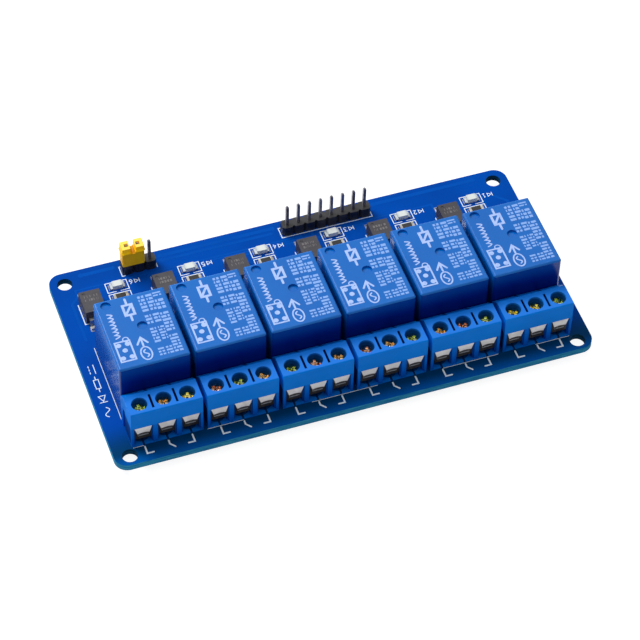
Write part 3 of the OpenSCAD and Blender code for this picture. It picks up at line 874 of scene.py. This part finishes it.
def channelPrint(sheet, i, x):
    # frames round the small parts of one channel
    w, fine = printPlan["line"], printPlan["fine"]
    lampX = x + parts["lampX"]
    sheet.box((lampX, lampY / mm), printPlan["chipFrame"], w, 1.0)
    sheet.box((lampX, lampResistorY / mm), printPlan["chipFrame"], w)
    sheet.box((lampX, baseResistorY / mm), printPlan["chipFrame"], w)
    half, foot, low, high = printPlan["optoFrame"]
    for side in (-1, 1):
        end = x + parts["optoX"] + side * half
        sheet.line([(end, high), (end, low), (end - side * foot, low)], fine + 0.06)
    diodeX = x + parts["diodeX"]
    sheet.box((diodeX, diodeY / mm), printPlan["diodeFrame"], fine)
    sheet.line([(diodeX - 2.6, diodeY / mm - 1.4), (diodeX - 2.6, diodeY / mm + 1.4)], fine)
    sheet.box((x + parts["transistorX"], transistorY / mm), printPlan["transistorFrame"], fine)
    # channel number and lamp sign to the right of the lamp
    signX, signY = x + printPlan["lampSignX"], lampY / mm + printPlan["numberRise"]
    numberPlace = (x + printPlan["numberX"], signY)
    numberMark(sheet, str(channelCount - i), numberPlace, printPlan["numberHeight"], 0.17)
    sheet.line([(signX - 0.5, signY + 0.48), (signX + 0.3, signY), (signX - 0.5, signY - 0.48)],
               0.15, closed=True)
    sheet.line([(signX + 0.52, signY + 0.5), (signX + 0.52, signY - 0.5)], 0.16)


def switchPrint(sheet, i):
    # changeover switch drawn in front of the three ways
    high, low, bold = printPlan["symbolTop"], printPlan["symbolLow"], printPlan["bold"]
    left, centre, right = (v / mm for v in wayXs[i * wayCount:i * wayCount + 3])
    sheet.line([(left, high), (left, low), (left + 1.4, low)], bold)
    sheet.line([(centre, high), (centre, high - 0.9), (centre + 0.9, low - 0.05)], bold)
    sheet.line([(right, high), (right, low), (right - 1.35, low)], bold)


def edgeSigns(sheet):
    # supply, fuse, diode and resistor signs along the left edge
    x, w = printPlan["signsX"], printPlan["line"]
    sheet.line([(x + 0.55, 0.6), (x + 0.55, -1.8)], w)
    for k in range(3):
        sheet.line([(x - 0.55, 0.5 - 0.85 * k), (x - 0.55, 0.05 - 0.85 * k)], w)
    sheet.line([(x, -2.6), (x, -3.4)], w)
    sheet.box((x, -4.7), (1.2, 2.6), w)
    sheet.line([(x, -6.0), (x, -6.8)], w)
    sheet.line([(x - 0.75, -8.0), (x + 0.75, -8.0), (x, -9.5)], w, closed=True)
    sheet.line([(x - 0.8, -9.75), (x + 0.8, -9.75)], w)
    sheet.wave((x, -11.2), 0.6, -2.6, w)


def boardPrint():
    sheet = Sheet()
    fine = printPlan["fine"]
    for i, x in enumerate(channelXs):
        channelPrint(sheet, i, x / mm)
        switchPrint(sheet, i)
    # only these runs of the long line at the terminals' feet are printed
    front = terminalFront / mm - printPlan["footInset"]
    for start, end in printPlan["footRuns"]:
        sheet.line([(start, front), (end, front)], printPlan["footWidth"])
    sheet.line(printPlan["sideLine"], fine - 0.02)
    sheet.line(printPlan["sideHook"], fine)
    sheet.box(*printPlan["controlFrame"], fine + 0.04)
    sheet.line(printPlan["selectFrame"], fine + 0.04)
    edgeSigns(sheet)
    ink = inkMaterial("board_ink", printPlan["ink"], printPlan["inkThin"])
    finishPiece("printedLines", sheet.printed(boardTop, printPlan["thick"]), ink)


boardPrint()
print("board print made")

# marks on the relay tops: plain signs, and rows of split blocks where ratings would stand

relayPrintPlan = {
    "ink": tint(172, 196, 246), "inkThin": tint(128, 166, 234), "inkSoft": tint(132, 172, 236),
    "thick": 0.015,   # mm
    "columns": [   # X of the column, height of a block, runs along Y, all from the relay's middle
        (2.2, 1.3, [(8.5, 3.8), (3.1, 0.4), (-0.5, -4.8), (-6.1, -8.4)]),
        (3.9, 1.3, [(8.5, 3.8), (3.1, 0.4), (-0.5, -4.4), (-6.1, -8.4)]),
        (5.65, 1.75, [(8.6, 7.2), (6.6, 3.6), (2.9, -2.6), (-3.4, -8.4)]),
    ],
    "blockStep": 0.86, "blockGap": 0.32, "slit": 0.26, "kinds": [0, 1, 2, 2, 3],
}


def splitBlock(sheet, kind, centre, width, height):
    # one of four plain blocks, whole or split in two; width runs along Y, height along X
    x, y = centre
    if kind == 0:
        sheet.bar((x, y), (height, width))
        return
    share = (0.3, 0.5, 0.68)[kind - 1]
    slit = relayPrintPlan["slit"]
    left, right = height * share - slit / 2, height * (1 - share) - slit / 2
    sheet.bar((x - height / 2 + left / 2, y), (left, width))
    sheet.bar((x + height / 2 - right / 2, y), (right, width))


def relayPrint(index):
    sheet = Sheet()
    centre = middle("relay_%d" % (index + 1))

    def at(x, y):
        return centre.x / mm + x, centre.y / mm + y

    draw = random.Random(7)
    for x, height, runs in relayPrintPlan["columns"]:
        for start, end in runs:
            count = max(1, round((start - end) / relayPrintPlan["blockStep"]))
            step = (start - end) / count
            for k in range(count):
                splitBlock(sheet, draw.choice(relayPrintPlan["kinds"]), at(x, start - (k + 0.5) * step),
                           step - relayPrintPlan["blockGap"], height)
    # winding drawn as humps along a line
    sheet.line([at(0.95 * abs(math.sin(math.pi * k / 6)) - 5.75, 5.5 - 6.8 * k / 42)
                for k in range(43)], 0.3)
    sheet.ring(at(-3.95, -2.0), 0.6, 0.24, 16)
    # pin plan: a frame with five pins
    sheet.box(at(-4.85, -4.95), (3.5, 5.6), 0.36)
    for x, y in ((-0.95, 1.75), (0.95, 1.75), (0, 0.2), (-0.95, -1.75), (0.95, -1.75)):
        sheet.disc(at(x - 4.85, y - 4.95), 0.56, 14)
    # coil box with a slash and its two leads
    sheet.box(at(-1.1, 5.45), (2.5, 3.3), 0.55)
    sheet.line([at(-1.9, 4.35), at(-0.3, 6.55)], 0.5)
    sheet.line([at(-1.1, 7.1), at(-1.1, 8.5)], 0.5)
    sheet.line([at(-1.1, 3.8), at(-1.1, 2.5)], 0.5)
    # arrow towards the coil end
    sheet.line([at(-2.05, -4.1), at(-0.95, -2.4), at(0.15, -4.1)], 0.42)
    sheet.line([at(-0.95, -3.0), at(-0.95, -4.7)], 0.42)
    # alternating-current sign in an oval
    sheet.ring(at(-0.9, -6.75), 1.12, 0.32, 24, 1.55)
    sheet.wave(at(-0.9, -7.75), 0.45, 2.0, 0.3)
    return sheet.printed(relayHigh.z, relayPrintPlan["thick"])


relayInk = inkMaterial("relay_ink", *(relayPrintPlan[ink] for ink in ("ink", "inkThin", "inkSoft")))
for index in range(channelCount):
    finishPiece("relayMarks_%d" % (index + 1), relayPrint(index), relayInk)
print("relay marks made")

optoPrintPlan = {
    "ink": tint(106, 102, 102), "inkThin": tint(82, 80, 82), "thick": 0.012,
    "rows": (1.35, 0.35), "blocks": 5, "step": 0.62,   # mm, rows measured from the middle
    "size": (0.62, 0.42),   # of a block, along Y and X
}


def optoPrint():
    sheet = Sheet()
    draw = random.Random(11)
    width, height = optoPrintPlan["size"]
    first = -(optoPrintPlan["blocks"] - 1) / 2
    for x in channelXs:
        for row in optoPrintPlan["rows"]:
            for k in range(optoPrintPlan["blocks"]):
                place = (x / mm + parts["optoX"] + (first + k) * optoPrintPlan["step"], optoY / mm + row)
                splitBlock(sheet, draw.choice([0, 1, 2, 3]), place, width, height)
    ink = inkMaterial("opto_ink", optoPrintPlan["ink"], optoPrintPlan["inkThin"])
    shape = sheet.printed(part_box("optocouplers")[1].z, optoPrintPlan["thick"])
    finishPiece("optoMarks", shape, ink)


optoPrint()
print("optocoupler marks made")

collarPlan = {
    "top": 0.9, "foot": 1.5,   # mm below the top of the cap
    "proud": 0.24, "sink": 0.3, "cut": 0.3, "channel": 1.44,   # mm; cut takes off each corner
}


def capCollar():
    # a sloping ridge round the head of the cap, open at its grip channel
    sheet = Sheet()
    low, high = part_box("jumper_cap")
    centre = middle("jumper_cap") / mm
    cut, width = collarPlan["cut"], collarPlan["proud"] + collarPlan["sink"]
    reach = (high - low) / 2 / mm
    x, y = (side + collarPlan["proud"] - width / 2 for side in reach.xy)
    for side in (-1, 1):
        path = [(collarPlan["channel"] / 2, -y), (x - cut, -y), (x, cut - y),
                (x, y - cut), (x - cut, y), (collarPlan["channel"] / 2, y)]
        sheet.line([(centre.x + side * px, centre.y + py) for px, py in path], width, square=True)
    foot, top = (high.z - collarPlan[level] * mm for level in ("foot", "top"))
    shape = sheet.raised(foot, top - foot)
    # its upper rim leans in to the cap
    proud = collarPlan["proud"] * mm
    for v in shape.verts:
        if v.co.z > (foot + top) / 2:
            v.co.y -= math.copysign(proud, v.co.y - centre.y * mm)
            if abs(v.co.x - centre.x * mm) > collarPlan["channel"] * mm:
                v.co.x -= math.copysign(proud, v.co.x - centre.x * mm)
    finishPiece("capCollar", shape, nodes["jumper_cap"].data.materials[0], "jumper")


capCollar()
print("cap ridge made")

# covered tracks

trackPlan = {
    "mask": tint(0, 81, 180), "maskDark": tint(0, 74, 169),
    "thick": 0.01, "thickUnder": 0.035, "sink": 0.02,   # mm, and so are the rest
    "narrow": 0.45, "wide": 2.8, "feed": 0.7, "rail": 1.4, "dot": 0.6,
    "lane": 21.55, "laneStep": 0.62,
    "strips": [   # route and width of the strips along the edges
        ([(-27.5, 25.6), (-2.0, 25.6)], 0.9), ([(21.5, 25.6), (45.0, 25.6)], 0.9),
        ([(-27.5, 24.2), (-2.6, 24.2)], 0.7), ([(-45.5, 25.4), (-38.2, 25.4)], 0.9),
        ([(-46.4, 21.0), (-49.4, 18.0), (-49.4, 7.5)], 0.6),
        ([(46.4, 21.0), (50.2, 17.4), (50.2, -19.0)], 0.7),
    ],
    "dots": [(-27.5, 25.6), (-2.0, 25.6), (21.5, 25.6), (45.0, 25.6), (50.2, -19.0), (-45.5, 25.4),
             (-27.5, 24.2)],
}


def trackMaterial():
    f = Finish("track_mask")
    cloud = f.noise(80, 3)
    colour = f.blend(f.ease(cloud, 0.35, 0.7), trackPlan["mask"], trackPlan["maskDark"])
    rough = f.ease(cloud, 0.3, 0.7, 0.28, 0.4)
    return f.close(f.surface(colour=colour, roughness=rough, specular=0.04,
                             normal=f.bump(f.noise(900, 2), 0.15, 0.00003)))


trackMask = trackMaterial()


def topTracks():
    sheet = Sheet()
    w = trackPlan["narrow"]
    for i, x in enumerate(channelXs):
        x /= mm
        lane = trackPlan["lane"] - trackPlan["laneStep"] * min(i, channelCount - 1 - i)
        source = controlXs[1 + i]
        # from the header to the optocoupler, on to the lamp and the chip resistors, and to the transistor
        sheet.line([(source, headerY / mm - 1.4), (source, lane), (x - 7.0, lane), (x - 7.0, 19.9),
                    (x - 6.27, 19.2)], w)
        sheet.line([(x - 3.73, 19.4), (x - 3.2, 20.05), (x - 0.2, 20.05)], w)
        sheet.line([(x + 3.4, 20.05), (x + 4.6, 19.0), (x + 4.6, 16.75), (x + 3.5, 16.75)], w)
        sheet.line([(x + 0.3, 16.75), (x - 1.0, 16.0), (x - 1.0, 13.3), (x + 0.3, 13.3)], w)
        sheet.line([(x - 3.73, 10.3), (x - 2.6, 9.2), (x + 2.2, 9.2), (x + 3.25, 8.2)], w)
        sheet.line([(x + 4.2, 9.1), (x + 5.6, 10.4), (x + 5.6, 13.3), (x + 3.5, 13.3)], w)
    for route, width in trackPlan["strips"]:
        sheet.line(route, width)
    for spot in trackPlan["dots"]:
        sheet.disc(spot, trackPlan["dot"], 16)
    finishPiece("topTracks", sheet.printed(boardTop, trackPlan["thick"], trackPlan["sink"]), trackMask)


def underTracks():
    sheet = Sheet()
    wide, feed = trackPlan["wide"], trackPlan["feed"]
    for i, x in enumerate(channelXs):
        x /= mm
        left, right = (wayXs[i * wayCount + k] / mm for k in (0, wayCount - 1))
        pins = [(x + dx, relayPinY - dy) for dx, dy in pinPlan["relay"]]
        common, coilLeft, coilRight, contactLeft, contactRight = pins
        sheet.line([common, (x, tailY)], wide)
        sheet.line([contactLeft, (left, tailY)], wide)
        sheet.line([contactRight, (right, tailY)], wide)
        sheet.line([coilLeft, (x - 6, 7.5), (x + 2.8, 9.0)], feed)
        sheet.line([coilRight, (x + 6, 12.5), (x + 7.3, 14.5)], feed)
        sheet.disc((x + 2.8, 9.0), trackPlan["dot"], 16)
        sheet.line([(x - 3.7, 19.0), (x - 3.7, 21.0)], 0.5)
    first, last = channelXs[0] / mm, channelXs[-1] / mm
    sheet.line([(first + 7.3, 14.5), (last + 7.3, 14.5)], trackPlan["rail"])
    sheet.line([(first - 3.7, 21.0), (last - 3.7, 21.0)], trackPlan["rail"])
    thick = trackPlan["thickUnder"] * mm
    finishPiece("underTracks", sheet.raised(boardUnder - thick, thick + trackPlan["sink"] * mm), trackMask)


topTracks()
underTracks()
print("tracks made")

# pads and solder of the small parts

padPlan = {
    "thick": 0.05, "fillet": 0.42, "filletLow": 0.09, "round": 0.05,   # mm
    "ringThick": 0.06, "relayRing": 1.45, "tailRing": 1.4, "headerRing": 0.98,
}


def fillet(shape, centre, size, lean):
    # a wedge of solder, low on the side that lean points to
    verts = slab(shape, centre, size, boardTop, padPlan["fillet"] * mm)
    cx, cy = centre[0] * mm, centre[1] * mm
    for v in verts:
        outside = (v.co.x - cx) * lean[0] + (v.co.y - cy) * lean[1]
        if outside > 0 and v.co.z > boardTop + padPlan["filletLow"] * mm:
            v.co.z = boardTop + padPlan["filletLow"] * mm
    rounding = padPlan["round"] * mm
    edges = list({e for v in verts for e in v.link_edges if e.calc_length() > rounding})
    bmesh.ops.bevel(shape, geom=edges, offset=rounding, segments=2, profile=0.5, affect="EDGES",
                    material=-1)


def boardPads():
    shape = bmesh.new()
    t = padPlan["thick"] * mm
    for x in channelXs:
        x /= mm
        for side in (-1, 1):
            for lead in (-1, 1):
                px = x + parts["optoX"] + lead * parts["optoLead"]
                reach = parts["optoLength"] / 2 + parts["optoReach"]
                slab(shape, (px, optoY / mm + side * (reach - 0.25)), (1.3, 1.7), boardTop, t)
                fillet(shape, (px, optoY / mm + side * (reach + 0.18)), (0.9, 0.36), (0, side))
            for y in (lampY, lampResistorY, baseResistorY):
                px = x + parts["lampX"] + side * parts["chipLength"] / 2
                slab(shape, (px - side * 0.1, y / mm), (0.8, 1.5), boardTop, t)
                fillet(shape, (px + side * 0.1, y / mm), (0.2, 1.2), (side, 0))
            dx = x + parts["diodeX"] + side * (parts["diodeLength"] / 2 + 0.1)
            slab(shape, (dx, diodeY / mm), (1.5, 1.9), boardTop, t)
            fillet(shape, (dx + side * 0.35, diodeY / mm), (0.4, 1.4), (side, 0))
        for lead, side in ((-1, -1), (1, -1), (0, 1)):
            px = x + parts["transistorX"] + lead * parts["transistorLead"]
            py = transistorY / mm + side * (parts["transistorWidth"] / 2 + parts["transistorReach"] - 0.1)
            slab(shape, (px, py), (0.8, 0.9), boardTop, t)
            fillet(shape, (px, py + side * 0.22), (0.4, 0.3), (0, side))
    # the pads are painted a dark blue-grey as shade
    finishPiece("boardPads", shape, solderMaterial("shaded_pad_solder", "padShade", "padShadeDull"))


def padRings():
    # tinned rings round the solder under the board
    sheet = Sheet()
    for x in channelXs:
        for dx, dy in pinPlan["relay"]:
            sheet.disc((x / mm + dx, relayPinY - dy), padPlan["relayRing"], 28)
    for x in wayXs:
        sheet.disc((x / mm, tailY), padPlan["tailRing"], 28)
    for x in controlXs + selectXs:
        sheet.disc((x, headerY / mm), padPlan["headerRing"], 24)
    thick = padPlan["ringThick"] * mm
    finishPiece("padRings", sheet.raised(boardUnder - thick, thick + 0.01 * mm),
                nodes["solder_joints"].data.materials[0])


boardPads()
padRings()
print("pads and solder made")

({"cad": [list(corner) for corner in cadBox],
           "visual": [list(corner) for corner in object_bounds()]})
